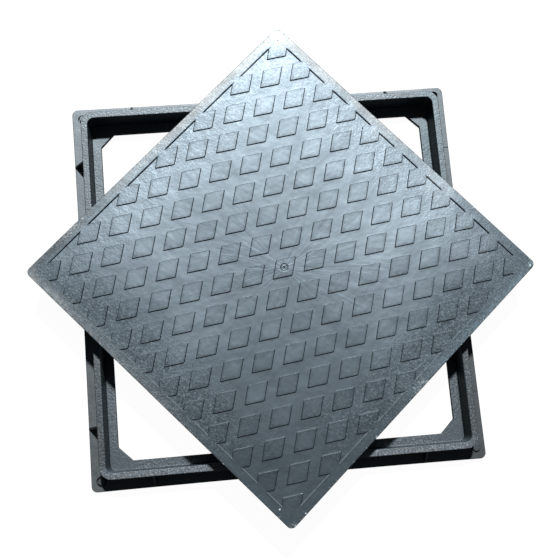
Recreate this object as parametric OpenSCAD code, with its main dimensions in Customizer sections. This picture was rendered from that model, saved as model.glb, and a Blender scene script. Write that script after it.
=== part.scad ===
// Square inspection cover lying askew on its frame.
// Two loose moulded pieces, millimetres, +Z up, underside of the frame at Z = 0.
// The origin lies under the middle of the cover, at the level of the base.

/* [Frame] */
// Width of the base across the outward flange
flange_w = 663; // [654:1:680]
// Corner radius of the flange
flange_r = 10; // [4:1:16]
// Height of the flange's upper face above the base
flange_t = 12; // [10:1:16]
// Height of the whole frame, up to the rim
frame_h = 50; // [44:1:60]
// Width across the outside of the rim
rim_out = 626; // [616:1:630]
// Width across the inside of the rim
rim_in = 603; // [603:1:608]
// Corner radius outside the rim
rim_out_r = 20; // [18:1:26]
// Corner radius inside the rim
rim_in_r = 12; // [8:1:14]
// Rounding along the outer edge of the rim
rim_edge = 1; // [1:0.5:2.5]
// How far the wall spreads outward at its foot, each side
wall_draft = 1.5; // [0.5:0.5:3]
// How far the wall's inner face comes in at its foot, each side
seat_draft = 2.5; // [1:0.5:4.5]
// Chamfer along the inner edge of the rim
rim_chamfer = 1; // [0.5:0.5:2.5]
// Height of the seat's upper face above the base
seat_t = 9; // [8:0.5:9.5]
// Clear width of the opening
opening_w = 568; // [556:1:574]
// Leg of the cut-off corners of the opening
opening_cut = 23; // [10:1:34]

/* [Gussets] */
// Distance of each gusset from the middle of its side
gusset_at = 226.5; // [120:0.5:270]
// Thickness of a gusset
gusset_t = 3.5; // [2:0.5:6]

/* [Corner marks] */
// Distance of each mark from the frame's two centre lines
stud_at = 314; // [313:0.5:318]
// Diameter of a stud, on the -X side
stud_d = 9; // [6:0.5:11]
// Height of a stud above the flange
stud_h = 4; // [1:0.5:8]
// Diameter of the recess around a stud, and of the open one
recess_d = 14; // [12:0.5:15]
// Depth of that recess
recess_t = 5; // [2:0.5:8]
// Diameter of the raised disc in the +X -Y corner
disc_d = 13; // [8:0.5:14]
// Height of the disc above the flange
disc_h = 3.5; // [1:0.5:5]

/* [Cover] */
// Width of the cover across its top
cover_w = 600; // [590:1:601]
// Height of the cover
cover_h = 41; // [34:1:50]
// Corner radius of the cover
cover_r = 9.5; // [6:0.5:14]
// Rounding of the top's outer edge
cover_edge = 1.2; // [0.8:0.2:3]
// How far the sides draw in at the bottom, each side
cover_draft = 3; // [1:0.5:5]
// Thickness of the top plate under the sunken field
plate_t = 6; // [4:0.5:10]
// Thickness of the outer skirt at its foot
skirt_t = 6; // [4:0.5:9]
// Thickness of the ribs underneath
rib_t = 3.5; // [3:0.5:5]
// Rib bays along each side
bays = 10; // [9:1:11]

/* [Tread pattern] */
// Depth of the sunken field
relief = 2; // [1:0.25:3]
// Width of the plain border along the two X edges
border_x = 16.6; // [12:0.1:20]
// Width of the plain border along the two Y edges
border_y = 16.6; // [12:0.1:20]
// Spacing of the lozenges along X
pitch_x = 54.5; // [54:0.5:56]
// Spacing of the lozenge rows along Y
pitch_y = 45.35; // [45:0.05:46.5]
// Short diagonal of a lozenge, along X
tile_x = 35; // [28:0.5:38]
// Long diagonal of a lozenge, along Y
tile_y = 52; // [44:0.5:56]
// Radius of the blunt corners of a lozenge
tile_r = 2.5; // [1:0.5:4]
// Diameter of the round mark in the middle of the cover
gate_d = 13; // [8:0.5:16]

/* [Placing] */
// Turn of the cover about the vertical
cover_turn = -48.38; // [-90:0.01:90]
// Sideways shift of the frame's middle from the cover's middle
frame_dx = -12.4; // [-14:0.1:14]
// Forward shift of the frame's middle from the cover's middle
frame_dy = -6.9; // [-14:0.1:14]

/* [Hidden] */
plastic = [0.16, 0.18, 0.2];
rows = 6;
tile_slope = atan2(tile_y, tile_x);
tile_side = norm([tile_x, tile_y]) / 2;
// distance from the middle of a lozenge to the centre of its blunt corner
tile_c = tile_x / 2 - tile_r / sin(tile_slope);
// distance from the middle of a lozenge to the foot of that corner's round
tile_fx = tile_c + tile_r * sin(tile_slope);
tile_fy = tile_r * cos(tile_slope);
bay = (cover_w - 2 * cover_draft - 2 * skirt_t + rib_t) / bays;

// copies of a child on the four corners of a square
module corners(c) {
    for (sx = [-1, 1], sy = [-1, 1]) translate([sx * c, sy * c, 0]) children();
}

// post with a cone below and an edge rounded over at the top
module post(z0, z1, r0, r1, edge, step) {
    translate([0, 0, z0]) cylinder(r1 = r0, r2 = r1, h = z1 - edge - z0, $fn = 32);
    for (a = [0 : step : 90 - step])
        translate([0, 0, z1 - edge * (1 - sin(a))])
            cylinder(r1 = r1 - edge * (1 - cos(a)),
                     r2 = r1 - edge * (1 - cos(a + step)),
                     h = edge * (sin(a + step) - sin(a)), $fn = 32);
}

// flat plate with four rounded corners, its curves true
module plate(w, r, h) {
    linear_extrude(height = h) union() {
        square([w - 2 * r, w], center = true);
        square([w, w - 2 * r], center = true);
        for (sx = [-1, 1], sy = [-1, 1])
            translate([sx * (w / 2 - r), sy * (w / 2 - r)])
                circle(r = r, $fn = 64);
    }
}

// square with its four corners cut off at 45 degrees
module cut_square(w, c) {
    a = w / 2;
    b = w / 2 - c;
    polygon([[b, -a], [a, -b], [a, b], [b, a], [-b, a], [-a, b], [-a, -b], [-b, -a]]);
}

// outside of the wall, drafted and rounded over at the top
module wall_outside() {
    hull() corners(rim_out / 2 - rim_out_r)
        post(flange_t - 2, frame_h, rim_out_r + wall_draft, rim_out_r, rim_edge, 30);
}

// space inside the wall, above the seat, chamfered at the top
module wall_inside() {
    c = rim_in / 2 - rim_in_r;
    hull() corners(c) translate([0, 0, seat_t])
        cylinder(r1 = rim_in_r - seat_draft, r2 = rim_in_r, h = frame_h + 1 - seat_t, $fn = 32);
    hull() corners(c) translate([0, 0, frame_h - rim_chamfer - 2])
        cylinder(r1 = rim_in_r - 2, r2 = rim_in_r + rim_chamfer + 1,
                 h = rim_chamfer + 3, $fn = 32);
}

// upright web between the wall and the flange's edge
module gusset() {
    translate([0, gusset_t / 2, 0]) rotate([90, 0, 0])
        linear_extrude(height = gusset_t)
            polygon([[rim_out / 2 - 4, flange_t - 2],
                     [flange_w / 2 - 0.5, flange_t - 2],
                     [flange_w / 2 - 0.5, flange_t],
                     [rim_out / 2 - rim_edge, frame_h - rim_edge],
                     [rim_out / 2 - 4, frame_h - rim_edge]]);
}

module frame() {
    color(plastic) translate([frame_dx, frame_dy, 0]) difference() {
        union() {
            difference() {
                plate(flange_w, flange_r, flange_t);
                for (c = [[-1, -1], [-1, 1], [1, 1]])
                    translate([c[0] * stud_at, c[1] * stud_at, flange_t - recess_t])
                        cylinder(d = recess_d, h = recess_t + 1, $fn = 48);
            }
            wall_outside();
            // none on the +X side
            for (side = [90, 180, 270], at = [-gusset_at, gusset_at])
                rotate([0, 0, side]) translate([0, at, 0]) gusset();
            for (sy = [-1, 1])
                translate([-stud_at, sy * stud_at, flange_t - recess_t - 0.5])
                    cylinder(d = stud_d, h = recess_t + stud_h + 0.5, $fn = 48);
            translate([stud_at, -stud_at, flange_t - 0.5])
                cylinder(d = disc_d, h = disc_h + 0.5, $fn = 48);
        }
        wall_inside();
        translate([0, 0, -1]) linear_extrude(height = seat_t + 2)
            cut_square(opening_w, opening_cut);
    }
}

// one lozenge: sharp at both ends of its long diagonal, blunt at the sides
module lozenge() {
    polygon([[tile_fx, tile_fy], [0, tile_y / 2], [-tile_fx, tile_fy],
             [-tile_fx, -tile_fy], [0, -tile_y / 2], [tile_fx, -tile_fy]]);
    for (s = [-1, 1]) translate([s * tile_c, 0]) circle(r = tile_r, $fn = 32);
}

// every second row is set back by half a space
module lozenges() {
    for (k = [-rows : rows]) {
        odd = abs(k) % 2;
        for (j = [-5 : 5 - odd])
            translate([(j + odd / 2) * pitch_x, k * pitch_y]) lozenge();
    }
}

// outside of the cover, drafted, with its top edge rounded over
module cover_outside() {
    hull() corners(cover_w / 2 - cover_r)
        post(0, cover_h, cover_r - cover_draft, cover_r, cover_edge, 22.5);
}

module cover() {
    field_x = cover_w - 2 * border_x;
    field_y = cover_w - 2 * border_y;
    color(plastic) translate([0, 0, frame_h]) rotate([0, 0, cover_turn]) difference() {
        cover_outside();
        // sunken field around the lozenges
        translate([0, 0, cover_h - relief]) linear_extrude(height = relief + 1) difference() {
            square([field_x, field_y], center = true);
            lozenges();
        }
        // round mark left in the middle lozenge
        translate([0, 0, cover_h - 0.8]) difference() {
            cylinder(d = gate_d, h = 2, $fn = 48);
            translate([0, 0, -1]) cylinder(d = gate_d - 3, h = 4, $fn = 48);
        }
        translate([0, 0, cover_h - 1.2]) cylinder(d = 3.4, h = 2, $fn = 32);
        // rib bays, open downward
        for (i = [0 : bays - 1], j = [0 : bays - 1])
            translate([(i - (bays - 1) / 2) * bay - (bay - rib_t) / 2,
                       (j - (bays - 1) / 2) * bay - (bay - rib_t) / 2, -1])
                cube([bay - rib_t, bay - rib_t, cover_h - relief - plate_t + 1]);
    }
}

frame();
cover();
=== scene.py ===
import math
import random

import bpy
import bmesh
import numpy as np
from mathutils import Matrix, Vector
from mathutils.geometry import delaunay_2d_cdt


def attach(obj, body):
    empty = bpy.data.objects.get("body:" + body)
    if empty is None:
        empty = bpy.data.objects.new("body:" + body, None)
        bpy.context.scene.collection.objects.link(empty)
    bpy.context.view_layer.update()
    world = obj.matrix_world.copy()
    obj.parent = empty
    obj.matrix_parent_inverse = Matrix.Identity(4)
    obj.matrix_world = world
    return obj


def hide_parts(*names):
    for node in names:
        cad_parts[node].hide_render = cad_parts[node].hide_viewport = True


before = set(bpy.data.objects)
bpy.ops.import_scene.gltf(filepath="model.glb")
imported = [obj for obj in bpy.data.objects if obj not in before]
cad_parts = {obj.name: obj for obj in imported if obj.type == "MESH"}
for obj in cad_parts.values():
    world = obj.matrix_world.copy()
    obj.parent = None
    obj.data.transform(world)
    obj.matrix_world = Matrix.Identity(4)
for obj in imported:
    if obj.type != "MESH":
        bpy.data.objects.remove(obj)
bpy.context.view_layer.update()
random.seed(41)
rng = np.random.default_rng(41)

# ---------------------------------------------------------------- sizes, mm
TURN = math.radians(-48.38)
COVER_Z = 50.0
FRAME_AT = (-12.4, -6.9)
SLOPE_N = (52 / math.hypot(52, 35), 35 / math.hypot(52, 35))
SIDE_K = 26 * SLOPE_N[1]
BLUNT_R = 2.5
BLUNT_C = 17.5 - BLUNT_R / SLOPE_N[0]
BORDER_X, BORDER_Y = 300 - 16.3, 300 - 16.3
LEVELS = [(-0.16, 0.0), (-0.03, -0.04), (0.07, -0.17), (0.50, -1.07), (0.94, -1.98), (1.05, -2.14), (1.24, -2.2)]
GATE = [(0.0, -1.05), (0.9, -1.05), (1.6, -0.45), (2.1, -0.12), (2.7, -0.04), (3.3, -0.12), (3.7, -0.24),
        (4.1, -0.14), (4.6, -0.04), (5.0, -0.12), (5.5, -0.42), (5.9, -0.5), (6.4, -0.36), (6.9, -0.08), (7.5, 0.0)]
TILES = [((j + (k % 2) / 2) * 54.5 + 0.4, k * 45.35 - 0.3) for k in range(-6, 7)
         for j in range(-5, 6 - (k % 2))]
T = np.array(TILES)


def lozenge_d(dx, dy):
    """distance from the outline of one lozenge, negative inside"""
    px, py = abs(dx), abs(dy)
    if (px - BLUNT_C) * SLOPE_N[1] - py * SLOPE_N[0] > 0:
        return math.hypot(px - BLUNT_C, py) - BLUNT_R
    if px * -SLOPE_N[1] + (py - 26) * SLOPE_N[0] > 0:
        return math.hypot(px, py - 26)
    return px * SLOPE_N[0] + py * SLOPE_N[1] - SIDE_K


def nearest_tile(x, y):
    return int(np.argmin((T[:, 0] - x) ** 2 * 1.9 + (T[:, 1] - y) ** 2))


def field_d(x, y):
    """distance into the sunken field, negative on the border and on the lozenges"""
    d = min(BORDER_X - abs(x), BORDER_Y - abs(y))
    near = (abs(T[:, 0] - x) < 21) & (abs(T[:, 1] - y) < 30)
    for cx, cy in T[near]:
        d = min(d, lozenge_d(x - cx, y - cy))
    return d


def step_z(d):
    if d <= LEVELS[0][0]:
        return 0.0
    for (d0, z0), (d1, z1) in zip(LEVELS, LEVELS[1:]):
        if d <= d1:
            return z0 + (z1 - z0) * (d - d0) / (d1 - d0)
    return LEVELS[-1][1]


def gate_z(r):
    if r >= GATE[-1][0]:
        return 0.0
    for (r0, z0), (r1, z1) in zip(GATE, GATE[1:]):
        if r <= r1:
            return z0 + (z1 - z0) * (r - r0) / (r1 - r0)
    return 0.0


def lozenge_line(cx, cy, d, parts=1):
    """outline of a lozenge set off by d, its long sides in several parts"""
    a_n = math.atan2(SLOPE_N[1], SLOPE_N[0])
    quad = []
    r = BLUNT_R + d
    for i in range(4):
        a = a_n * i / 3
        quad.append((BLUNT_C + r * math.cos(a), r * math.sin(a)))
    if d > 0.02:
        end = [(d * math.cos(a), 26 + d * math.sin(a))
               for a in (a_n + (math.pi / 2 - a_n) * i / 3 for i in range(4))]
    else:
        end = [(0.0, (SIDE_K + d) / SLOPE_N[1])]
    (x0, y0), (x1, y1) = quad[-1], end[0]
    quad += [(x0 + (x1 - x0) * i / parts, y0 + (y1 - y0) * i / parts) for i in range(1, parts)]
    quad += end
    up = quad
    left = [(-x, y) for x, y in reversed(up)]
    pts = up + left[1:]
    down = [(-x, -y) for x, y in pts][1:-1]
    return [(cx + x, cy + y) for x, y in pts + down]


def square_ring(half, r, sides, corner_n, bow=0.0, cut=None):
    """points round a square with rounded or cut-off corners, from the +X side on"""
    c = half - r if cut is None else half - cut
    out = []
    for q in range(4):
        pts = [(half - bow * (1 - t * t), c * t) for t in sides]
        for i in range(corner_n + 1):
            if cut is None:
                a = math.pi / 2 * i / corner_n
                pts.append((c + r * math.cos(a), c + r * math.sin(a)))
            else:
                f = i / corner_n
                pts.append((half - cut * f, c + cut * f))
        for x, y in pts:
            for _ in range(q):
                x, y = -y, x
            out.append((x, y))
    return out


def loft(verts, faces, rings, close=False):
    base = len(verts)
    n = len(rings[0][0])
    for ring, z in rings:
        verts.extend((x, y, z) for x, y in ring)
    last = len(rings) if close else len(rings) - 1
    for k in range(last):
        a, b = base + k * n, base + ((k + 1) % len(rings)) * n
        for i in range(n):
            j = (i + 1) % n
            faces.append((a + i, a + j, b + j, b + i))
    return base


def new_piece(name, verts, faces, place):
    mesh = bpy.data.meshes.new(name)
    mesh.from_pydata([place(v) for v in verts], [], faces)
    mesh.validate()
    obj = bpy.data.objects.new(name, mesh)
    bpy.context.scene.collection.objects.link(obj)
    return obj


def clean(obj, dist=2e-6, sharp=None):
    bm = bmesh.new()
    bm.from_mesh(obj.data)
    bmesh.ops.remove_doubles(bm, verts=bm.verts, dist=dist)
    bmesh.ops.dissolve_degenerate(bm, edges=bm.edges, dist=1e-7)
    bmesh.ops.recalc_face_normals(bm, faces=bm.faces)
    for f in bm.faces:
        f.smooth = True
    if sharp is not None:
        for e in bm.edges:
            if len(e.link_faces) == 2 and e.calc_face_angle(0.0) > math.radians(sharp):
                e.smooth = False
    bm.to_mesh(obj.data)
    bm.free()


def weighted(obj):
    m = obj.modifiers.new("normals", "WEIGHTED_NORMAL")
    m.mode = "FACE_AREA"
    m.weight = 60
    m.keep_sharp = True


# ---------------------------------------------------------------- cover
# small nicks in the cover's upper edge: x, y, radius, depth
NICKS = [(298.5, -262.5, 1.6, 0.6), (297.6, -293.6, 3.0, 0.5),
         (-297, 291, 4.0, 0.9), (-291, 297.5, 4.0, 1.0), (-281, 300, 3.2, 0.8), (-272, 300, 2.6, 0.6),
         (-300, 276, 2.6, 0.6), (-300, 262, 2.0, 0.4), (300, 10, 2.0, 0.4), (-300, -120, 1.8, 0.3)]


def warp(x, y):
    """how far the plate's top hangs below true, mm: the outer parts slope away on both sides of the diagonals"""
    m = max(abs(x), abs(y))
    low = min(abs(x), abs(y))
    t = min(max((m - 130) / 130, 0.0), 1.0)
    drop = 1.15 * t * t * t * (1 - t / 2) * 2 + max(m - 260, 0) * 0.0175
    # the two corners at the ends of one diagonal hang a little more
    if x * y > 0:
        near = min(max((low / max(m, 1) - 0.55) / 0.45, 0.0), 1.0) ** 2
        drop += near * t * 1.0
    dome = 0.28 * (1 - math.exp(-(x * x + y * y) / 15.0 ** 2))
    return drop + dome


def side_steps():
    """places along a side, closer together near a nick"""
    c = 290.5
    marks = set(round(v, 2) for v in np.linspace(-c, c, 84)[1:-1])
    for x, y, r, _ in NICKS:
        for m in (x, y, -x, -y):
            if abs(m) < 289:
                for o in (-1.5, -1.0, -0.6, -0.3, 0, 0.3, 0.6, 1.0, 1.5):
                    if abs(m + o * r) < 290:
                        marks.add(round(m + o * r, 2))
    marks = sorted(marks)
    kept = [marks[0]]
    for v in marks[1:]:
        if v - kept[-1] > 0.55:
            kept.append(v)
    return [v / c for v in kept]


def make_cover():
    sides = side_steps()
    n_corner = 8
    verts, faces, tone = [], [], []
    tile_tone = rng.normal(0, 1, len(TILES))

    def ring(half, r):
        return square_ring(half, r, sides, n_corner)

    # upper edge, sides and foot
    rings = []
    for a in (90, 67.5, 45, 22.5, 0):
        s, c = math.sin(math.radians(a)), math.cos(math.radians(a))
        rings.append((ring(300 - 1.2 * (1 - c), 9.5 - 1.2 * (1 - c)), 41 - 1.2 * (1 - s)))
    for z in (36.0, 31.0, 22.0, 12.0, 4.0):
        h = 297 + 3 * z / 39.8
        rings.append((ring(h, h - 290.5), z))
    for h, z in ((297.05, 0.8), (296.8, 0.25), (296.25, 0.0)):
        rings.append((ring(h, h - 290.5), z))
    rings.reverse()
    loft(verts, faces, rings)
    top_ring, low_ring = rings[-1][0], rings[0][0]

    # top
    pts, edges = [], []

    def add_line(line, keep=None, closed=True):
        base = len(pts)
        pts.extend(Vector(p) for p in line)
        n = len(line)
        for i in range(n if closed else n - 1):
            j = (i + 1) % n
            if keep is None or keep[i] or keep[j]:
                edges.append((base + i, base + j))

    add_line(top_ring)
    for d, _ in LEVELS:
        bx, by = BORDER_X - d, BORDER_Y - d
        nx = 110
        line = [(-bx + 2 * bx * i / nx, -by) for i in range(nx)] + [(bx, -by + 2 * by * i / nx) for i in range(nx)]
        line += [(-x, -y) for x, y in line]
        add_line(line, [field_d(x, y) > d - 1e-4 for x, y in line])
        for cx, cy in TILES:
            outer = abs(cx) > 250 or abs(cy) > 240
            line = lozenge_line(cx, cy, d, 14 if outer else 4)
            if outer:
                keep = [min(BORDER_X - abs(x), BORDER_Y - abs(y)) > d - 1e-4 for x, y in line]
                if not any(keep):
                    continue
            else:
                keep = None
            add_line(line, keep)
    for r, _ in GATE[1:]:
        add_line([(r * math.cos(math.tau * i / 40), r * math.sin(math.tau * i / 40)) for i in range(40)])
    used = set(i for e in edges for i in e)
    # points between the outlines carry the plate's slight warp
    grid = []
    for gx in np.arange(-294, 294.1, 6.0):
        for gy in np.arange(-294, 294.1, 6.0):
            x, y = float(gx), float(gy)
            if math.hypot(x, y) < 9:
                continue
            if abs(field_d(x, y) - 0.3) > 2.6:
                grid.append((x, y))
    used |= set(range(len(pts), len(pts) + len(grid) + 1))
    pts.append(Vector((0, 0)))
    pts.extend(Vector(p) for p in grid)
    for s in (-1, 1):
        base = len(pts)
        n = 90
        pts.extend(Vector((v, s * v)) for v in np.linspace(-294, 294, n) if abs(v) > 9)
        count = len(pts) - base
        for i in range(count - 1):
            if i != count // 2 - 1:
                edges.append((base + i, base + i + 1))
        used |= set(range(base, len(pts)))
    order = sorted(used)
    index = {o: i for i, o in enumerate(order)}
    tv, _, tf, _, _, _ = delaunay_2d_cdt([pts[o] for o in order], [(index[a], index[b]) for a, b in edges], [], 0, 1e-5)
    base = top_at = len(verts)
    ds = []
    for v in tv:
        d = field_d(v.x, v.y)
        ds.append(d)
        verts.append((v.x, v.y, 41 + step_z(d) + gate_z(math.hypot(v.x, v.y))))
    n_sides = len(faces)
    for f in tf:
        faces.append(tuple(base + i for i in f))

    # underside: foot of skirt and ribs, with the bays between them
    pitch = (600 - 6 - 12 + 3.5) / 10
    half = (pitch - 3.5) / 2
    bays = [((i - 4.5) * pitch, (j - 4.5) * pitch) for i in range(10) for j in range(10)]

    def bay_ring(cx, cy, h, r):
        return [(cx + x, cy + y) for x, y in square_ring(h, r, (-0.5, 0.5), 3)]

    pts, edges = [], []
    add_line(low_ring)
    for cx, cy in bays:
        add_line(bay_ring(cx, cy, half + 0.35, 1.85))
    bv, _, bf, _, _, _ = delaunay_2d_cdt(pts, edges, [], 0, 1e-5)
    base = len(verts)
    verts.extend((v.x, v.y, 0.0) for v in bv)
    for f in bf:
        mx = sum(bv[i].x for i in f) / 3
        my = sum(bv[i].y for i in f) / 3
        bx = mx / pitch + 4.5
        by = my / pitch + 4.5
        cx, cy = (round(bx) - 4.5) * pitch, (round(by) - 4.5) * pitch
        if 0 <= round(bx) <= 9 and 0 <= round(by) <= 9 and max(abs(mx - cx), abs(my - cy)) < half + 0.3:
            continue
        faces.append(tuple(base + i for i in reversed(f)))
    for cx, cy in bays:
        lines = [(bay_ring(cx, cy, half + 0.35, 1.85), 0.0), (bay_ring(cx, cy, half + 0.05, 1.55), 0.35),
                 (bay_ring(cx, cy, half - 0.35, 1.3), 31.6), (bay_ring(cx, cy, half - 0.7, 1.1), 32.6),
                 (bay_ring(cx, cy, half - 1.4, 0.9), 33.0)]
        first = loft(verts, faces, lines)
        n = len(lines[0][0])
        faces.append(tuple(first + 4 * n + i for i in range(n)))

    # nicks: the edge is pressed in, with a torn lip
    arr = np.array(verts)
    for x, y, r, depth in NICKS:
        dist = np.hypot(arr[:, 0] - x, arr[:, 1] - y)
        w = np.clip(1 - dist / (r * 1.35), 0, 1) ** 1.3
        w = np.where((arr[:, 2] > 30) & (np.maximum(abs(arr[:, 0]), abs(arr[:, 1])) > 291), w, 0)
        rough = 0.65 + 0.7 * rng.random(len(arr))
        length = math.hypot(x, y)
        push = w * depth * rough
        high = np.clip((arr[:, 2] - 34) / 7, 0, 1)
        arr[:, 0] -= push * x / length * (0.35 + 0.4 * high)
        arr[:, 1] -= push * y / length * (0.35 + 0.4 * high)
        arr[:, 2] -= push * high * 0.7
    # the plate and its edges are never perfectly true
    hang = np.array([warp(x, y) for x, y in arr[:, :2]])
    hang += 0.06 * (1 - np.cos(arr[:, 0] / 31) * np.cos(arr[:, 1] / 37))
    share = np.clip((arr[:, 2] - 30.0) / 6.0, 0, 1)
    share[(np.maximum(abs(arr[:, 0]), abs(arr[:, 1])) < 293) & (arr[:, 2] < 34)] = 0
    arr[:, 2] -= hang * share
    arr[arr[:, 2] < 0, 2] = 0
    cs, sn = math.cos(TURN), math.sin(TURN)

    def place(v):
        return ((v[0] * cs - v[1] * sn) / 1000, (v[0] * sn + v[1] * cs) / 1000, (v[2] + COVER_Z) / 1000)

    obj = new_piece("cover_moulding", arr.tolist(), faces, place)
    # marks the brinks of the sunken field
    brink = np.zeros(len(arr))
    brink[top_at:top_at + len(ds)] = np.clip(1 - np.abs(np.array(ds) - 0.35) / 0.75, 0, 1)
    obj.data.attributes.new("brink", "FLOAT", "POINT").data.foreach_set("value", brink)
    clean(obj)
    # tone: each lozenge's top differs a little from its neighbours
    attr = obj.data.attributes.new("tone", "FLOAT", "FACE")
    values = []
    for poly in obj.data.polygons:
        c = poly.center * 1000
        x, y = c.x * cs + c.y * sn, -c.x * sn + c.y * cs
        v = 0.0
        if c.z > 86.0 and max(abs(x), abs(y)) < 284:
            i = nearest_tile(x, y)
            if lozenge_d(x - T[i, 0], y - T[i, 1]) < 0.3:
                v = tile_tone[i]
        values.append(v)
    attr.data.foreach_set("value", values)
    weighted(obj)
    return obj


# ---------------------------------------------------------------- frame
def make_frame():
    sides = [t for t in np.linspace(-1, 1, 25)[1:-1]]
    n_corner = 8
    verts, faces = [], []

    def ring(half, c=None, r=None, bow=0.3, cut=None):
        rr = (half - c) if c is not None else r
        return square_ring(half, rr, sides, n_corner, bow, cut)

    loops = []
    # underside and the flange's edge
    loops.append((ring(284.0, cut=23.0, bow=0), 0.8))
    loops.append((ring(284.3, cut=23.1, bow=0), 0.25))
    loops.append((ring(285.0, cut=23.3, bow=0), 0.0))
    loops.append((ring(330.5, r=9.0, bow=1.3), 0.0))
    loops.append((ring(331.2, r=9.7, bow=1.3), 0.25))
    loops.append((ring(331.5, r=10.0, bow=1.3), 0.9))
    loops.append((ring(331.4, r=9.9, bow=1.3), 11.0))
    for a in (22.5, 45, 67.5, 90):
        s, c = math.sin(math.radians(a)), math.cos(math.radians(a))
        loops.append((ring(331.4 - 1.0 * (1 - c), r=9.9 - 1.0 * (1 - c), bow=1.3), 11.0 + 1.0 * s))
    # fillet at the wall's foot, wall, and rounded outer edge of the rim
    for a in (90, 60, 30, 0):
        s, c = math.sin(math.radians(a)), math.cos(math.radians(a))
        loops.append((ring(315.4 - 1.0 * (1 - s), c=293.0, bow=0.3), 13.0 - 1.0 * s if a < 90 else 12.0))
    loops.append((ring(314.4, c=293.0), 14.5))
    loops.append((ring(313.7, c=293.0), 31.0))
    for a in (0, 22.5, 45, 67.5, 90):
        s, c = math.sin(math.radians(a)), math.cos(math.radians(a))
        loops.append((ring(313.0 - 1.0 * (1 - c), c=293.0), 49.0 + 1.0 * s))
    # rim, inner edge, inner wall, seat
    loops.append((ring(302.9, c=290.4), 50.0))
    loops.append((ring(302.5, c=290.4), 49.85))
    loops.append((ring(301.9, c=290.4), 49.3))
    loops.append((ring(301.55, c=290.3), 48.6))
    loops.append((ring(300.4, c=289.7), 31.0))
    loops.append((ring(299.3, c=289.0), 12.0))
    for a in (25, 50, 75, 90):
        s, c = math.sin(math.radians(a)), math.cos(math.radians(a))
        loops.append((ring(299.2 - 1.2 * (1 - c), c=289.0), 10.2 - 1.2 * s))
    loops.append((ring(284.55, cut=23.15, bow=0), 9.0))
    loops.append((ring(284.15, cut=23.05, bow=0), 8.85))
    loops.append((ring(284.0, cut=23.0, bow=0), 8.5))
    loft(verts, faces, loops, close=True)

    def place(v):
        return ((v[0] + FRAME_AT[0]) / 1000, (v[1] + FRAME_AT[1]) / 1000, v[2] / 1000)

    obj = new_piece("frame_moulding", verts, faces, place)
    clean(obj)

    # gussets and studs are joined on, recesses are cut
    tools = []

    def prism(outline, thickness, turn, at, name):
        """upright web, its profile in radius and height"""
        n = len(outline)
        vs = [(r, off + at, z) for off in (-thickness / 2, thickness / 2) for r, z in outline]
        fs = [(i, (i + 1) % n, n + (i + 1) % n, n + i) for i in range(n)]
        fs.append(tuple(reversed(range(n))))
        fs.append(tuple(n + i for i in range(n)))
        out = []
        for x, y, z in vs:
            for _ in range(turn):
                x, y = -y, x
            out.append((x, y, z))
        o = new_piece(name, out, fs, place)
        clean(o)
        return o

    web = [(308.0, 8.0), (330.5, 8.0), (330.8, 12.2), (330.0, 13.4), (322.8, 26.4), (316.6, 37.8),
           (313.9, 43.6), (312.8, 46.4), (311.4, 47.6), (308.0, 47.6)]
    for turn in (1, 2, 3):
        for at in (-226.5, 226.5):
            tools.append(("UNION", prism(web, 3.5, turn, at, "web")))

    def turned(profile, x, y, name, n=40):
        vs, fs = [], []
        for r, z in profile:
            for i in range(n):
                a = math.tau * i / n
                vs.append((x + r * math.cos(a), y + r * math.sin(a), z))
        m = len(profile)
        for k in range(m - 1):
            for i in range(n):
                j = (i + 1) % n
                fs.append((k * n + i, k * n + j, (k + 1) * n + j, (k + 1) * n + i))
        fs.append(tuple(reversed(range(n))))
        fs.append(tuple((m - 1) * n + i for i in range(n)))
        o = new_piece(name, vs, fs, place)
        clean(o)
        return o

    # a stud in a recess on the left, an open recess and a raised disc on the right
    for x, y, w in ((-314.6, -314.6, 1.0), (-314.0, 314.0, 0.0), (315.5, 317.5, -0.4)):
        tools.append(("DIFFERENCE", turned([(6.9 + w, 7.0), (7.3 + w, 7.4), (7.3 + w, 11.6), (7.5 + w, 12.0), (7.5 + w, 12.6)], x, y, "recess")))
    for x, y, w in ((-314.2, -314.6, 0.9), (-314.0, 314.0, 0.0)):
        tools.append(("UNION", turned([(5.2 + w, 6.4), (5.2 + w, 14.4), (5.0 + w, 14.9), (4.6 + w, 15.15), (4.0 + w, 15.2), (0.6, 15.15)], x, y, "stud")))
    tools.append(("UNION", turned([(6.6, 11.0), (6.6, 14.7), (6.4, 15.2), (6.0, 15.45), (5.4, 15.5), (0.6, 15.45)], 316.2, -312.2, "disc")))
    for op, tool in tools:
        m = obj.modifiers.new("b", "BOOLEAN")
        m.operation = op
        m.solver = "EXACT"
        m.object = tool
    bpy.context.view_layer.update()
    deps = bpy.context.evaluated_depsgraph_get()
    done = bpy.data.meshes.new_from_object(obj.evaluated_get(deps))
    obj.modifiers.clear()
    obj.data = done
    obj.data.name = "frame_moulding"
    for _, tool in tools:
        mesh = tool.data
        bpy.data.objects.remove(tool)
        bpy.data.meshes.remove(mesh)
    clean(obj, sharp=50)
    weighted(obj)
    return obj


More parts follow.
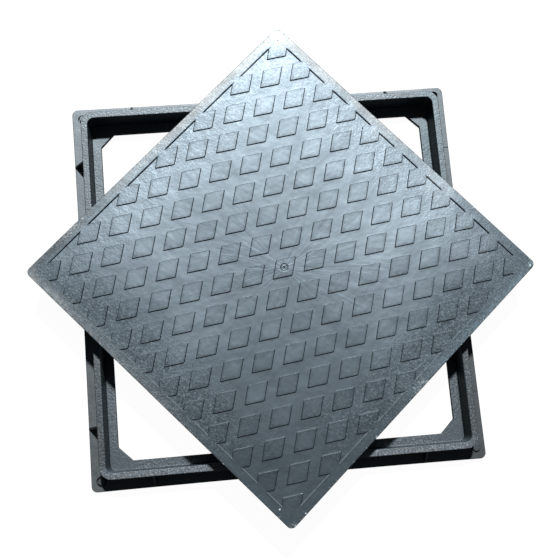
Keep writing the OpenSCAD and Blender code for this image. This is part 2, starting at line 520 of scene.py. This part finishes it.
# ---------------------------------------------------------------- materials
class Nodes:
    """short hand for building a node tree"""

    def __init__(self, name):
        self.mat = bpy.data.materials.new(name)
        self.mat.use_nodes = True
        self.tree = self.mat.node_tree
        self.tree.nodes.clear()
        self.out = self.tree.nodes.new("ShaderNodeOutputMaterial")
        self.bsdf = self.tree.nodes.new("ShaderNodeBsdfPrincipled")
        self.link(self.bsdf.outputs[0], self.out.inputs[0])

    def link(self, a, b):
        self.tree.links.new(a, b)

    def put(self, socket, value):
        if isinstance(value, bpy.types.NodeSocket):
            self.link(value, socket)
        else:
            socket.default_value = value

    def math(self, op, a, b=0.0, clamp=False):
        n = self.tree.nodes.new("ShaderNodeMath")
        n.operation = op
        n.use_clamp = clamp
        self.put(n.inputs[0], a)
        self.put(n.inputs[1], b)
        return n.outputs[0]

    def vec(self, op, a, b=(0, 0, 0)):
        n = self.tree.nodes.new("ShaderNodeVectorMath")
        n.operation = op
        self.put(n.inputs[0], a)
        if op == "SCALE":
            self.put(n.inputs[3], b)
        else:
            self.put(n.inputs[1], b)
        return n.outputs[1] if op in ("LENGTH", "DISTANCE", "DOT_PRODUCT") else n.outputs[0]

    def noise(self, vector, scale, detail=2.0, rough=0.5, distortion=0.0):
        n = self.tree.nodes.new("ShaderNodeTexNoise")
        n.inputs["Scale"].default_value = scale
        n.inputs["Detail"].default_value = detail
        n.inputs["Roughness"].default_value = rough
        n.inputs["Distortion"].default_value = distortion
        self.put(n.inputs["Vector"], vector)
        return n.outputs[0]

    def ramp(self, value, lo, hi, out_lo=0.0, out_hi=1.0, smooth=True):
        n = self.tree.nodes.new("ShaderNodeMapRange")
        n.interpolation_type = "SMOOTHSTEP" if smooth else "LINEAR"
        n.clamp = True
        self.put(n.inputs[0], value)
        n.inputs[1].default_value = lo
        n.inputs[2].default_value = hi
        n.inputs[3].default_value = out_lo
        n.inputs[4].default_value = out_hi
        return n.outputs[0]

    def mix(self, fac, a, b):
        n = self.tree.nodes.new("ShaderNodeMix")
        n.data_type = "RGBA"
        self.put(n.inputs[0], fac)
        self.put(n.inputs[6], a)
        self.put(n.inputs[7], b)
        return n.outputs[2]

    def bump(self, height, distance, strength=1.0, normal=None):
        n = self.tree.nodes.new("ShaderNodeBump")
        n.inputs["Strength"].default_value = strength
        n.inputs["Distance"].default_value = distance
        self.put(n.inputs["Height"], height)
        if normal is not None:
            self.link(normal, n.inputs["Normal"])
        return n.outputs[0]

    def place(self, turn=0.0, shift=(0, 0, 0)):
        t = self.tree.nodes.new("ShaderNodeTexCoord")
        m = self.tree.nodes.new("ShaderNodeMapping")
        m.inputs["Location"].default_value = shift
        m.inputs["Rotation"].default_value = (0, 0, turn)
        self.link(t.outputs["Object"], m.inputs[0])
        return m.outputs[0]

    def split(self, v):
        n = self.tree.nodes.new("ShaderNodeSeparateXYZ")
        self.link(v, n.inputs[0])
        return n.outputs[0], n.outputs[1], n.outputs[2]

    def join(self, x, y, z):
        n = self.tree.nodes.new("ShaderNodeCombineXYZ")
        self.put(n.inputs[0], x)
        self.put(n.inputs[1], y)
        self.put(n.inputs[2], z)
        return n.outputs[0]


DARK = (0.0065, 0.0092, 0.0118, 1)
DUST = (0.15, 0.175, 0.19, 1)
WARM = (0.20, 0.175, 0.135, 1)
# bluish tint for the sheen: painted reflection colour, standing in for skylight
TINT = (0.70, 0.87, 1.0, 1)


def cover_material():
    k = Nodes("cover_plastic")
    p = k.place(turn=-TURN)
    x, y, z = k.split(p)
    ax, ay = k.math("ABSOLUTE", x), k.math("ABSOLUTE", y)
    m = k.math("MAXIMUM", ax, ay)
    wob = k.noise(p, 14, 2)
    # dust and film lie on the upper face, hardly any of them on the sides
    geo = k.tree.nodes.new("ShaderNodeNewGeometry")
    upper = k.ramp(k.split(geo.outputs["Normal"])[2], 0.20, 0.80, 0.12, 1.0)
    # grain fades out towards the middle
    outer = k.ramp(k.math("ADD", m, k.math("MULTIPLY", k.math("SUBTRACT", wob, 0.5), 0.09)), 0.165, 0.262)
    flat = k.join(x, y, 0.0)
    r = k.vec("LENGTH", flat)
    direction = k.vec("NORMALIZE", flat)
    streak_at = k.vec("ADD", k.vec("SCALE", direction, 4.0), k.join(0.0, 0.0, k.math("MULTIPLY", r, 9.0)))
    streak = k.noise(streak_at, 1.0, 3, 0.6, 0.8)
    blotch = k.noise(p, 16, 3, 0.6, 0.9)
    cloud = k.noise(k.vec("ADD", p, (3.1, 1.7, 0.4)), 6, 2, 0.5)
    tone_n = k.tree.nodes.new("ShaderNodeAttribute")
    tone_n.attribute_name = "tone"
    tone = tone_n.outputs["Fac"]
    fine = k.noise(p, 1100, 2, 0.6)
    speck = k.noise(k.vec("ADD", p, (5.2, 0.3, 1.1)), 350, 1, 0.5)
    medium = k.noise(k.vec("ADD", p, (1.2, 4.3, 2.1)), 130, 2, 0.6)
    # distance from the diagonal between two corners, in the plane of the cover
    side = k.math("MULTIPLY", k.math("SUBTRACT", y, x), 0.7071)
    rim = k.math("MAXIMUM", k.ramp(m, 0.2835, 0.2925), k.math("MULTIPLY", k.ramp(m, 0.2825, 0.2845), k.ramp(side, 0.02, -0.04, 0.0, 0.6)))

    grain = k.math("MULTIPLY", outer, k.ramp(k.math("ADD", side, k.math("MULTIPLY", k.math("SUBTRACT", wob, 0.5), 0.16)), -0.33, -0.22, 0.12, 1.0))
    grain = k.math("MULTIPLY", grain, k.ramp(side, -0.02, 0.10, 1.0, 0.85))
    grain = k.math("MULTIPLY", grain, k.ramp(k.vec("DISTANCE", flat, (-0.30, 0.30, 0)), 0.10, 0.26, 0.55, 1.0))

    # roughness
    rough = k.math("ADD", 0.404, k.math("MULTIPLY", k.math("SUBTRACT", blotch, 0.5), 0.12))
    rough = k.math("ADD", rough, k.math("MULTIPLY", k.math("SUBTRACT", streak, 0.5), 0.05))
    rough = k.math("ADD", rough, k.math("MULTIPLY", tone, 0.010))
    rough = k.math("ADD", rough, k.math("MULTIPLY", k.math("MULTIPLY", k.math("SUBTRACT", speck, 0.47), grain), 0.39))
    k.link(rough, k.bsdf.inputs["Roughness"])

    # colour: dark plastic, thin dust in the grain, scuffs along the rim, and pale dots on a few chipped spots, partly
    # painted glints
    dusty = k.math("MULTIPLY", k.ramp(speck, 0.55, 0.75), k.math("MULTIPLY", grain, 0.25))
    dusty = k.math("ADD", dusty, k.math("MULTIPLY", k.ramp(cloud, 0.45, 0.75), 0.03))
    col = k.mix(dusty, DARK, DUST)
    # film of pale dirt on the border, thickest from the left corner on and next to the right one
    film = k.ramp(side, -0.30, 0.25, 0.022, 0.03)
    for sx, sy, rad, amount in ((-0.30, -0.30, 0.26, 0.33), (-0.05, -0.30, 0.18, 0.09), (0.30, 0.27, 0.17, 0.16),
                                (0.30, 0.10, 0.15, 0.11)):
        film = k.math("ADD", film, k.math("MULTIPLY", k.ramp(k.vec("DISTANCE", flat, (sx, sy, 0)), rad, 0.0, 0.0, amount), k.ramp(side, 0.02, -0.02)))
    film = k.math("MULTIPLY", k.math("MULTIPLY", film, rim), upper)
    film = k.math("MULTIPLY", film, k.ramp(medium, 0.30, 0.72, 0.5, 1.5))
    film = k.math("MULTIPLY", film, k.ramp(m, 0.284, 0.298, 0.7, 1.3))
    col = k.mix(film, col, k.mix(k.ramp(side, -0.03, 0.05), k.mix(k.ramp(x, 0.0, 0.2), (0.168, 0.186, 0.190, 1), (0.128, 0.185, 0.222, 1)), k.mix(k.ramp(x, 0.05, 0.2), WARM, (0.11, 0.17, 0.21, 1))))
    scuff_noise = k.noise(k.vec("ADD", p, (0.7, 2.2, 0.1)), 260, 4, 0.7)
    edge = k.ramp(m, 0.2945, 0.3)
    scuff_and_glint = k.math("MULTIPLY", edge, k.ramp(scuff_noise, 0.58, 0.72))
    for sx, sy, rad, amount in ((-0.292, 0.292, 0.026, 0.9), (-0.27, 0.299, 0.018, 0.8), (-0.299, 0.255, 0.030, 0.55),
                                (0.2985, -0.2935, 0.010, 0.8), (0.2945, 0.292, 0.007, 0.7), (0.297, 0.012, 0.022, 0.45),
                                (-0.299, -0.03, 0.05, 0.35), (-0.298, -0.2, 0.05, 0.35)):
        near = k.ramp(k.vec("DISTANCE", flat, (sx, sy, 0)), rad, rad * 0.25)
        spot = k.math("MULTIPLY", k.math("MULTIPLY", near, amount), k.ramp(scuff_noise, 0.46, 0.64))
        scuff_and_glint = k.math("MAXIMUM", scuff_and_glint, k.math("MULTIPLY", k.math("MULTIPLY", spot, k.ramp(m, 0.285, 0.293)), k.ramp(z, 0.080, 0.087)))
    # small pale dots on chipped spots: partly chips, partly painted glints on them
    for nx, ny, rad in ((0.2631, -0.2889, 0.0015), (0.2973, -0.2648, 0.0013), (0.272, -0.2462, 0.0007),
                        (0.2943, 0.2912, 0.0017)):
        near = k.ramp(k.vec("DISTANCE", flat, (nx, ny, 0)), rad, rad * 0.6)
        scuff_and_glint = k.math("MAXIMUM", scuff_and_glint, near)
    col = k.mix(k.math("MULTIPLY", scuff_and_glint, 0.75), col, (0.50, 0.55, 0.57, 1))
    # painted highlight: brinks that face the light on the near half are made paler, standing in for the sheen on their
    # rounded edges
    facing = k.ramp(k.split(geo.outputs["Normal"])[1], 0.10, 0.45)
    brink_n = k.tree.nodes.new("ShaderNodeAttribute")
    brink_n.attribute_name = "brink"
    painted_brink_highlight = k.math("MULTIPLY", k.math("MULTIPLY", brink_n.outputs["Fac"], facing), k.ramp(side, 0.04, -0.16, 0.0, 0.5))
    col = k.mix(k.math("MULTIPLY", painted_brink_highlight, k.ramp(medium, 0.3, 0.6, 0.6, 1.0)), col, (0.17, 0.20, 0.22, 1))
    # painted highlight: a paler line along the border's inner brink where it faces the light, on the near half
    line = k.math("MULTIPLY", k.math("MULTIPLY", k.ramp(m, 0.2822, 0.2828), k.ramp(m, 0.2850, 0.2842)), facing)
    line = k.math("MULTIPLY", line, k.ramp(side, 0.02, -0.10, 0.0, 0.28))
    col = k.mix(k.math("MULTIPLY", line, k.ramp(medium, 0.3, 0.6, 0.5, 1.0)), col, (0.20, 0.23, 0.25, 1))
    # pale dust in the far corner and in patches along the border
    for sx, sy, rad, amount in ((-0.298, 0.298, 0.050, 0.60), (-0.294, 0.206, 0.030, 0.45), (-0.294, 0.128, 0.026, 0.35),
                                (-0.18, 0.294, 0.034, 0.30), (-0.05, 0.292, 0.04, 0.25), (0.09, 0.294, 0.05, 0.28)):
        near = k.ramp(k.vec("DISTANCE", flat, (sx, sy, 0)), rad, rad * 0.2)
        near = k.math("MULTIPLY", near, upper)
        col = k.mix(k.math("MULTIPLY", k.math("MULTIPLY", near, amount), k.ramp(medium, 0.35, 0.65, 0.4, 1.0)), col, (0.34, 0.36, 0.37, 1))
    k.link(col, k.bsdf.inputs["Base Color"])

    # the outer parts of the plate lean a little to both sides of that diagonal
    lean = k.math("MULTIPLY", k.ramp(k.math("ADD", side, k.math("MULTIPLY", k.math("SUBTRACT", wob, 0.5), 0.05)), -0.02, 0.02, -0.021, 0.026), outer)
    lean = k.math("MULTIPLY", lean, k.math("MAXIMUM", k.ramp(k.math("ABSOLUTE", side), 0.02, 0.32, 1.0, 0.35), k.ramp(side, 0.0, -0.22, 0.0, 0.86)))
    off = k.vec("SCALE", k.join(0.059, 0.998, 0.0), lean)
    # and it sags or rises slightly in a few wide patches
    for sx, sy, rad, dx, dy, amount in ((0.10, 0.17, 0.21, -0.48, 0.88, 0.042), (-0.17, -0.13, 0.14, 0.36, 0.93, 0.020),
                                        (-0.30, 0.17, 0.17, -0.2, -0.98, 0.016), (-0.24, 0.06, 0.10, -0.2, -0.98, 0.012),
                                        (-0.16, 0.31, 0.14, 0.1, -0.99, 0.016), (0.28, 0.30, 0.10, 0.5, -0.85, 0.012),
                                        (-0.28, -0.28, 0.12, -0.4, -0.9, 0.014), (0.23, 0.04, 0.12, -0.4, 0.9, 0.026),
                                        (-0.04, -0.19, 0.12, 0.1, 0.99, 0.026), (-0.27, 0.27, 0.10, -0.05, -0.99, 0.010)):
        apart = k.math("ADD", k.vec("DISTANCE", flat, (sx, sy, 0)), k.math("MULTIPLY", k.math("SUBTRACT", wob, 0.5), 0.07))
        off = k.vec("ADD", off, k.vec("SCALE", k.join(dx, dy, 0.0), k.ramp(apart, rad, 0.0, 0.0, amount)))
    for sx, sy, rad, amount in ((-0.30, -0.20, 0.13, 0.060), (0.20, 0.30, 0.12, 0.015), (0.28, 0.30, 0.06, 0.010),
                                (-0.30, 0.0, 0.08, -0.012), (0.04, 0.30, 0.08, -0.010), (-0.145, 0.30, 0.07, -0.012),
                                (0.0, 0.30, 0.05, -0.010), (0.116, 0.30, 0.045, -0.014), (0.185, 0.30, 0.045, 0.010),
                                (-0.30, -0.235, 0.05, 0.035)):
        droop = k.math("MULTIPLY", k.ramp(k.vec("DISTANCE", flat, (sx, sy, 0)), rad, 0.0, 0.0, amount), rim)
        off = k.vec("ADD", off, k.vec("SCALE", k.join(0.0, -1.0, 0.0), droop))
    tilted = k.vec("NORMALIZE", k.vec("ADD", geo.outputs["Normal"], off))

    # bump
    grain_h = k.math("ADD", k.math("MULTIPLY", fine, 0.12), speck)
    grain_h = k.math("MULTIPLY", grain_h, k.math("ADD", k.math("MULTIPLY", grain, 0.85), 0.15))
    n1 = k.bump(grain_h, 0.00016, 1.0, tilted)
    wave = k.math("ADD", k.noise(p, 30, 2), k.math("MULTIPLY", streak, 0.5))
    n2 = k.bump(wave, 0.0006, 1.0, n1)
    n3 = k.bump(k.math("MULTIPLY", medium, k.math("ADD", k.math("MULTIPLY", outer, 0.5), 0.3)), 0.00018, 1.0, n2)
    k.link(n3, k.bsdf.inputs["Normal"])
    shine = k.math("ADD", 0.72, k.math("ADD", k.math("MULTIPLY", outer, 0.02), k.math("MULTIPLY", tone, 0.025)))
    # the walls round the lozenges are duller: their sheen is lowered along the brinks
    shine = k.math("MULTIPLY", shine, k.math("SUBTRACT", 1.0, k.math("MULTIPLY", brink_n.outputs["Fac"], 0.75)))
    shine = k.math("MULTIPLY", shine, k.math("SUBTRACT", 1.0, k.math("MULTIPLY", rim, k.ramp(side, 0.0, 0.30, 0.08, 0.24))))
    # painted shade: the sheen is lowered along the foot of the border on the far half, darkening the line where the
    # border's shadow falls
    painted_gutter_shade = k.math("MULTIPLY", k.math("MULTIPLY", k.ramp(m, 0.2820, 0.2827), k.ramp(m, 0.2851, 0.2844)), k.ramp(side, 0.0, 0.08))
    painted_gutter_shade = k.math("MULTIPLY", painted_gutter_shade, k.math("MULTIPLY", k.ramp(medium, 0.30, 0.55, 0.75, 1.0), k.ramp(brink_n.outputs["Fac"], 0.02, 0.25)))
    painted_gutter_shade = k.math("MULTIPLY", painted_gutter_shade, k.ramp(k.vec("DISTANCE", flat, (-0.2837, 0.2837, 0.0)), 0.004, 0.008))
    shine = k.math("MULTIPLY", shine, k.math("SUBTRACT", 1.0, k.math("MULTIPLY", painted_gutter_shade, 0.95)))
    k.link(shine, k.bsdf.inputs["Specular IOR Level"])
    # painted reflection colour: the sheen is tinted bluish, standing in for skylight, less so on parts of the border
    k.link(k.mix(k.math("MULTIPLY", k.math("MULTIPLY", rim, k.ramp(x, -0.15, 0.12, 1.0, 0.15)), k.ramp(k.math("ADD", cloud, k.math("MULTIPLY", side, 0.6)), 0.40, 0.75, 0.25, 1.0)), TINT, (0.86, 0.95, 1.0, 1)),
           k.bsdf.inputs["Specular Tint"])
    return k.mat


def frame_material():
    k = Nodes("frame_plastic")
    p = k.place(shift=(-FRAME_AT[0] / 1000, -FRAME_AT[1] / 1000, 0))
    x, y, z = k.split(p)
    m = k.math("MAXIMUM", k.math("ABSOLUTE", x), k.math("ABSOLUTE", y))
    rim = k.ramp(z, 0.0470, 0.0490)
    wall = k.math("MULTIPLY", k.ramp(m, 0.3030, 0.3020), k.ramp(z, 0.0085, 0.0095))
    seat = k.math("MULTIPLY", k.ramp(m, 0.3000, 0.2985), k.ramp(z, 0.0125, 0.0100))
    above = k.ramp(z, 0.003, 0.006)
    foot = k.math("MULTIPLY", k.math("MULTIPLY", k.ramp(m, 0.3085, 0.3125), k.ramp(z, 0.0160, 0.0125)), above)
    grainy = k.math("MAXIMUM", k.math("MAXIMUM", rim, seat), k.math("MULTIPLY", wall, 0.7))
    blotch = k.noise(p, 16, 3, 0.6, 0.6)
    fine = k.noise(p, 1100, 2, 0.6)
    speck = k.noise(k.vec("ADD", p, (5.2, 0.3, 1.1)), 340, 1, 0.5)
    medium = k.noise(k.vec("ADD", p, (1.2, 4.3, 2.1)), 120, 2, 0.6)
    ax, ay = k.math("ABSOLUTE", x), k.math("ABSOLUTE", y)
    smooth = k.math("MULTIPLY", k.ramp(k.math("ADD", k.math("MINIMUM", ax, ay), k.math("MULTIPLY", k.math("SUBTRACT", blotch, 0.5), 0.05)), 0.238, 0.272, 0.0, 0.7), seat)
    grainy = k.math("MULTIPLY", grainy, k.math("SUBTRACT", 1.0, smooth))
    right = k.ramp(x, 0.290, 0.305)
    grainy = k.math("MULTIPLY", grainy, k.math("SUBTRACT", 1.0, k.math("MULTIPLY", right, 0.28)))
    rough = k.math("ADD", 0.43, k.math("MULTIPLY", k.math("SUBTRACT", blotch, 0.5), 0.10))
    rough = k.math("ADD", rough, k.math("MULTIPLY", k.math("MULTIPLY", k.math("SUBTRACT", speck, 0.45), grainy), 0.50))
    rough = k.math("ADD", rough, k.math("MULTIPLY", seat, 0.02))
    k.link(rough, k.bsdf.inputs["Roughness"])
    dusty = k.math("MULTIPLY", k.ramp(speck, 0.48, 0.74), k.math("ADD", k.math("MULTIPLY", k.math("MULTIPLY", grainy, k.math("MULTIPLY", k.ramp(x, -0.302, -0.285, 0.38, 1.0), k.ramp(y, -0.285, -0.302, 0.85, 1.5))), 0.46), 0.05))
    # painted shade: the insides of the corner recesses are painted near black; dirt has settled at the foot of the wall
    corner = k.vec("DISTANCE", k.join(ax, ay, 0.0), (0.3140, 0.3140, 0.0))
    painted_shade = k.math("MULTIPLY", k.math("MULTIPLY", k.ramp(corner, 0.0125, 0.0105), k.ramp(z, 0.0117, 0.0100)), above)
    col = k.mix(dusty, (0.0085, 0.0095, 0.0105, 1), (0.15, 0.165, 0.175, 1))
    film = k.math("MULTIPLY", foot, k.ramp(k.math("ADD", y, k.math("MULTIPLY", blotch, 0.1)), -0.30, 0.30, 0.095, 0.035))
    # and a thin layer of it on the near side's rim and seat
    film = k.math("ADD", film, k.math("MULTIPLY", rim, k.ramp(y, -0.286, -0.300, 0.0, 0.20)))
    film = k.math("ADD", film, k.math("MULTIPLY", seat, k.ramp(y, 0.0, -0.20, 0.0, 0.045)))
    film = k.math("MULTIPLY", film, k.ramp(medium, 0.30, 0.72, 0.6, 1.4))
    film = k.math("MULTIPLY", film, k.math("SUBTRACT", 1.0, k.math("MULTIPLY", right, 0.5)))
    col = k.mix(film, col, k.mix(foot, (0.140, 0.165, 0.188, 1), (0.168, 0.170, 0.170, 1)))
    # painted shade colour: the inner walls, mostly in shade, get a bluish cast standing in for skylight
    col = k.mix(k.math("MULTIPLY", wall, 0.6), col, (0.0085, 0.0190, 0.0250, 1))
    # hardly any light gets to the upright inner edge of the seat
    brow = k.math("MULTIPLY", k.ramp(z, 0.0090, 0.0084), k.ramp(m, 0.2900, 0.2890))
    painted_shade = k.math("MAXIMUM", painted_shade, k.math("MULTIPLY", brow, 0.85))
    # fine seams across the side that has no gussets
    seam = k.math("MULTIPLY", k.ramp(k.math("ABSOLUTE", k.math("SUBTRACT", ay, 0.2188)), 0.0017, 0.0007),
                  k.math("MULTIPLY", k.ramp(x, 0.2830, 0.2840), k.ramp(z, 0.0180, 0.0140)))
    seam = k.math("MULTIPLY", seam, k.ramp(medium, 0.30, 0.55, 0.5, 1.0))
    seam = k.math("MULTIPLY", seam, k.math("MULTIPLY", k.ramp(x, 0.300, 0.318, 0.4, 1.0), k.ramp(y, -0.1, 0.1, 0.5, 1.0)))
    col = k.mix(seam, col, (0.004, 0.005, 0.006, 1))
    # painted shade: the recess insides and the upright inner edge of the seat are darkened to near black
    col = k.mix(painted_shade, col, (0.004, 0.004, 0.004, 1))
    k.link(col, k.bsdf.inputs["Base Color"])
    h = k.math("MULTIPLY", k.math("ADD", k.math("MULTIPLY", fine, 0.15), speck), k.math("ADD", k.math("MULTIPLY", grainy, 0.85), 0.25))
    n1 = k.bump(h, 0.0003)
    n2 = k.bump(k.noise(p, 24, 2), 0.0005, 1.0, n1)
    n3 = k.bump(k.math("MULTIPLY", medium, k.math("ADD", k.math("MULTIPLY", grainy, 0.7), 0.3)), 0.0003, 1.0, n2)
    k.link(n3, k.bsdf.inputs["Normal"])
    k.link(k.math("MULTIPLY", k.ramp(y, 0.15, -0.25, 0.595, 0.52), k.math("SUBTRACT", 1.0, k.math("MAXIMUM", k.math("MAXIMUM", k.math("MULTIPLY", seam, 0.8), k.math("MULTIPLY", brow, 0.7)), k.math("MULTIPLY", k.math("MULTIPLY", foot, right), 0.11)))), k.bsdf.inputs["Specular IOR Level"])
    # painted reflection colour: the frame's sheen is tinted bluish, standing in for skylight
    k.link(k.mix(k.math("MULTIPLY", k.math("MULTIPLY", grainy, k.ramp(x, 0.27, 0.29)), k.ramp(y, -0.15, 0.05)), (0.78, 0.91, 1.0, 1), (0.71, 0.895, 1.0, 1)), k.bsdf.inputs["Specular Tint"])
    return k.mat


def floor_material():
    k = Nodes("floor")
    p = k.place()
    n = k.noise(p, 3, 2)
    k.link(k.mix(k.math("MULTIPLY", n, 0.2), (0.045, 0.045, 0.045, 1), (0.04, 0.04, 0.04, 1)), k.bsdf.inputs["Base Color"])
    k.bsdf.inputs["Roughness"].default_value = 0.9
    k.bsdf.inputs["Specular IOR Level"].default_value = 0.0
    k.bsdf.inputs["Emission Color"].default_value = (1, 1, 1, 1)
    k.bsdf.inputs["Emission Strength"].default_value = 0.97
    return k.mat


cover = make_cover()
cover.data.materials.append(cover_material())
frame_piece = make_frame()
frame_piece.data.materials.clear()
frame_piece.data.materials.append(frame_material())
for poly in frame_piece.data.polygons:
    poly.material_index = 0
for piece, node, slot in ((cover, "cover", "cover_plastic"), (frame_piece, "frame", "frame_plastic")):
    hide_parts(node)
    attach(piece, "root")

# ---------------------------------------------------------------- floor, light, camera
bm = bmesh.new()
bmesh.ops.create_circle(bm, cap_ends=True, radius=9.0, segments=96)
mesh = bpy.data.meshes.new("floor")
bm.to_mesh(mesh)
bm.free()
floor = bpy.data.objects.new("floor", mesh)
floor.location = (0, 0, -0.0002)
bpy.context.scene.collection.objects.link(floor)
floor.data.materials.append(floor_material())
floor.visible_glossy = False
floor.visible_diffuse = False

sun = bpy.data.lights.new("key", "SUN")
sun.energy = 8.2
sun.angle = math.radians(4.0)
sun.color = (1.0, 1.0, 1.0)
sun_obj = bpy.data.objects.new("key", sun)
sun_obj.rotation_euler = Vector((0.080, 0.622, 1.0)).to_track_quat("Z", "Y").to_euler()
bpy.context.scene.collection.objects.link(sun_obj)

world = bpy.data.worlds.new("world")
world.use_nodes = True
back = world.node_tree.nodes["Background"]
back.inputs[0].default_value = (0.80, 0.90, 1.0, 1)
back.inputs[1].default_value = 0.10
bpy.context.scene.world = world

right = Vector((0.99481822, -0.08630329, 0.05374432))
up = Vector((0.07514763, 0.9802254, 0.18306012))
forward = Vector((0.06848024, 0.17807278, -0.98163157))
m = Matrix((right, up, -forward)).transposed().to_4x4()
m.translation = Vector((-0.1225, -0.3159, 1.7187))
cam = bpy.data.cameras.new("camera")
cam.sensor_width = 36.0
cam.lens = 64.63
cam.clip_start = 0.05
cam_obj = bpy.data.objects.new("camera", cam)
cam_obj.matrix_world = m
bpy.context.scene.collection.objects.link(cam_obj)
bpy.context.scene.camera = cam_obj
bpy.context.scene.view_settings.view_transform = "Standard"
bpy.context.scene.view_settings.look = "None"
